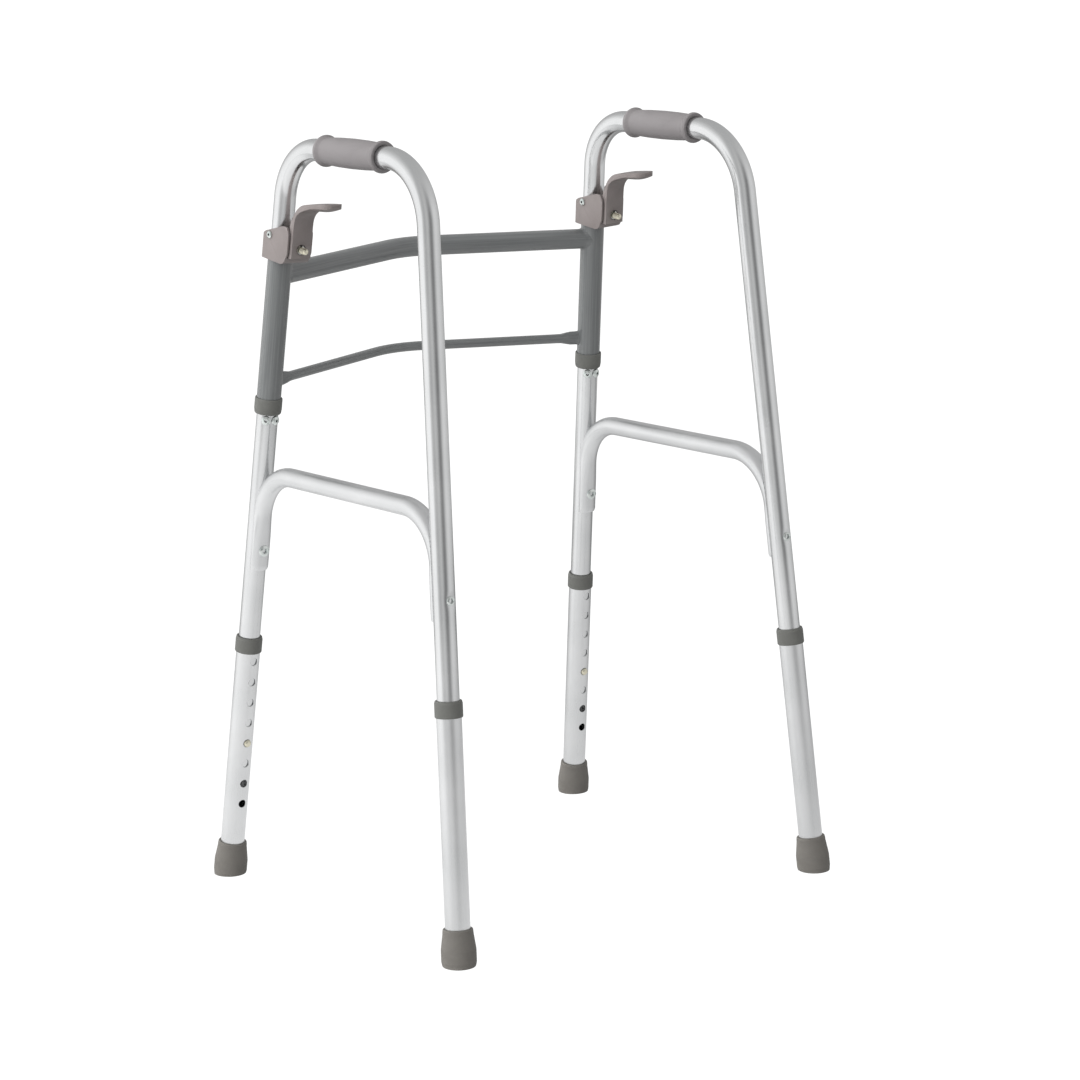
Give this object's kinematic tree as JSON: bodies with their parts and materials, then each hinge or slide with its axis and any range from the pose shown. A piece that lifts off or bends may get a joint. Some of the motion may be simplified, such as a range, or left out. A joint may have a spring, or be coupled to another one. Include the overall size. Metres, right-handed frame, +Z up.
{
  "type": "folding walking frame",
  "caption": "Folding walking frame: aluminium side frames hinged to a grey cranked crossbar, palm-lever latches, height-adjustable legs with rubber tips.",
  "frame": {"origin": "middle of the footprint, on the floor", "axes": "+Z up; +Y forward, the way the user walks, so the crossbar is on the +Y side and the open side is on the -Y side; +X to the user's right"},
  "size_m": [0.5638, 0.4946, 0.8874],
  "materials": {
    "anodised_tube": "satin anodised",
    "grey_paint": "semi-gloss powder coat",
    "collar_plastic": "moulded, matt",
    "latch_plastic": "moulded, satin",
    "grip_vinyl": "soft, matt",
    "tip_rubber": "moulded, matt",
    "zinc_rivet": "zinc plated",
    "plated_pin": "pale yellow plating",
    "spring_steel": "bright drawn wire"
  },
  "bodies": {
    "crossbar": {"left_sleeve": "grey_paint", "right_sleeve": "grey_paint", "upper_crossbar": "grey_paint", "lower_crossbar": "grey_paint", "left_sleeve_collar": "collar_plastic", "right_sleeve_collar": "collar_plastic"},
    "left_side": {"left_frame_tube": "anodised_tube", "left_grip": "grip_vinyl", "left_brace": "anodised_tube", "left_brace_rivet_front": "zinc_rivet", "left_brace_rivet_rear": "zinc_rivet", "left_sleeve_rivet_outer": "zinc_rivet", "left_sleeve_rivet_back": "zinc_rivet", "left_latch_housing": "latch_plastic", "left_latch_rivet": "zinc_rivet", "left_lock_spring": "spring_steel", "left_front_button_spring": "spring_steel", "left_rear_button_spring": "spring_steel"},
    "left_lever": {"left_release_lever": "latch_plastic"},
    "left_pin": {"left_lock_pin": "plated_pin", "left_lock_pin_clip": "spring_steel"},
    "left_front_leg": {"left_front_leg_extension": "anodised_tube", "left_front_leg_collar": "collar_plastic", "left_front_tip": "tip_rubber", "left_front_tip_washer": "zinc_rivet"},
    "left_front_button": {"left_front_snap_button": "plated_pin"},
    "left_rear_leg": {"left_rear_leg_extension": "anodised_tube", "left_rear_leg_collar": "collar_plastic", "left_rear_tip": "tip_rubber", "left_rear_tip_washer": "zinc_rivet"},
    "left_rear_button": {"left_rear_snap_button": "plated_pin"},
    "right_side": {"right_frame_tube": "anodised_tube", "right_grip": "grip_vinyl", "right_brace": "anodised_tube", "right_brace_rivet_front": "zinc_rivet", "right_brace_rivet_rear": "zinc_rivet", "right_sleeve_rivet_outer": "zinc_rivet", "right_sleeve_rivet_back": "zinc_rivet", "right_latch_housing": "latch_plastic", "right_latch_rivet": "zinc_rivet", "right_lock_spring": "spring_steel", "right_front_button_spring": "spring_steel", "right_rear_button_spring": "spring_steel"},
    "right_lever": {"right_release_lever": "latch_plastic"},
    "right_pin": {"right_lock_pin": "plated_pin", "right_lock_pin_clip": "spring_steel"},
    "right_front_leg": {"right_front_leg_extension": "anodised_tube", "right_front_leg_collar": "collar_plastic", "right_front_tip": "tip_rubber", "right_front_tip_washer": "zinc_rivet"},
    "right_front_button": {"right_front_snap_button": "plated_pin"},
    "right_rear_leg": {"right_rear_leg_extension": "anodised_tube", "right_rear_leg_collar": "collar_plastic", "right_rear_tip": "tip_rubber", "right_rear_tip_washer": "zinc_rivet"},
    "right_rear_button": {"right_rear_snap_button": "plated_pin"}
  },
  "joints": [
    {"name": "left_fold", "type": "hinge", "parent": "crossbar", "child": "left_side", "pos_m": [-0.23078, 0.13307, 0.68268], "axis": [0.046, -0.1378, 0.9894], "range_deg": [0, 88], "deforming": ["left_lock_pin"]},
    {"name": "left_lever_press", "type": "hinge", "parent": "left_side", "child": "left_lever", "pos_m": [-0.22783, 0.08636, 0.74628], "axis": [0.9989, 0, -0.0464], "range_deg": [0, 16]},
    {"name": "left_pin_pull", "type": "slide", "parent": "left_side", "child": "left_pin", "axis": [-0.0064, -0.9905, -0.1376], "range_m": [0, 0.00434], "deforming": ["left_lock_spring"]},
    {"name": "left_front_height", "type": "slide", "parent": "left_side", "child": "left_front_leg", "axis": [0.046, -0.1378, 0.9894], "range_m": [-0.1016, 0.0762], "deforming": ["left_front_snap_button"]},
    {"name": "left_front_button_press", "type": "slide", "parent": "left_side", "child": "left_front_button", "axis": [0.0064, 0.9905, 0.1376], "range_m": [0, 0.0055], "deforming": ["left_front_button_spring"]},
    {"name": "left_rear_height", "type": "slide", "parent": "left_side", "child": "left_rear_leg", "axis": [0.0462, 0.0873, 0.9951], "range_m": [-0.1016, 0.0762], "deforming": ["left_rear_snap_button"]},
    {"name": "left_rear_button_press", "type": "slide", "parent": "left_side", "child": "left_rear_button", "axis": [0.0041, -0.9962, 0.0872], "range_m": [0, 0.0055], "deforming": ["left_rear_button_spring"]},
    {"name": "right_fold", "type": "hinge", "parent": "crossbar", "child": "right_side", "pos_m": [0.23078, 0.13307, 0.68268], "axis": [0.046, 0.1378, -0.9894], "range_deg": [0, 73], "deforming": ["right_lock_pin"]},
    {"name": "right_lever_press", "type": "hinge", "parent": "right_side", "child": "right_lever", "pos_m": [0.22783, 0.08636, 0.74628], "axis": [0.9989, 0, 0.0464], "range_deg": [0, 16]},
    {"name": "right_pin_pull", "type": "slide", "parent": "right_side", "child": "right_pin", "axis": [0.0064, -0.9905, -0.1376], "range_m": [0, 0.00434], "deforming": ["right_lock_spring"]},
    {"name": "right_front_height", "type": "slide", "parent": "right_side", "child": "right_front_leg", "axis": [-0.046, -0.1378, 0.9894], "range_m": [-0.1016, 0.0762], "deforming": ["right_front_snap_button"]},
    {"name": "right_front_button_press", "type": "slide", "parent": "right_side", "child": "right_front_button", "axis": [-0.0064, 0.9905, 0.1376], "range_m": [0, 0.0055], "deforming": ["right_front_button_spring"]},
    {"name": "right_rear_height", "type": "slide", "parent": "right_side", "child": "right_rear_leg", "axis": [-0.0462, 0.0873, 0.9951], "range_m": [-0.1016, 0.0762], "deforming": ["right_rear_snap_button"]},
    {"name": "right_rear_button_press", "type": "slide", "parent": "right_side", "child": "right_rear_button", "axis": [-0.0041, -0.9962, 0.0872], "range_m": [0, 0.0055], "deforming": ["right_rear_button_spring"]}
  ],
  "couplings": [
    {"joint": "left_pin_pull", "follows": "left_lever_press", "m_per_rad": 0.0155},
    {"joint": "right_pin_pull", "follows": "right_lever_press", "m_per_rad": 0.0155}
  ]
}
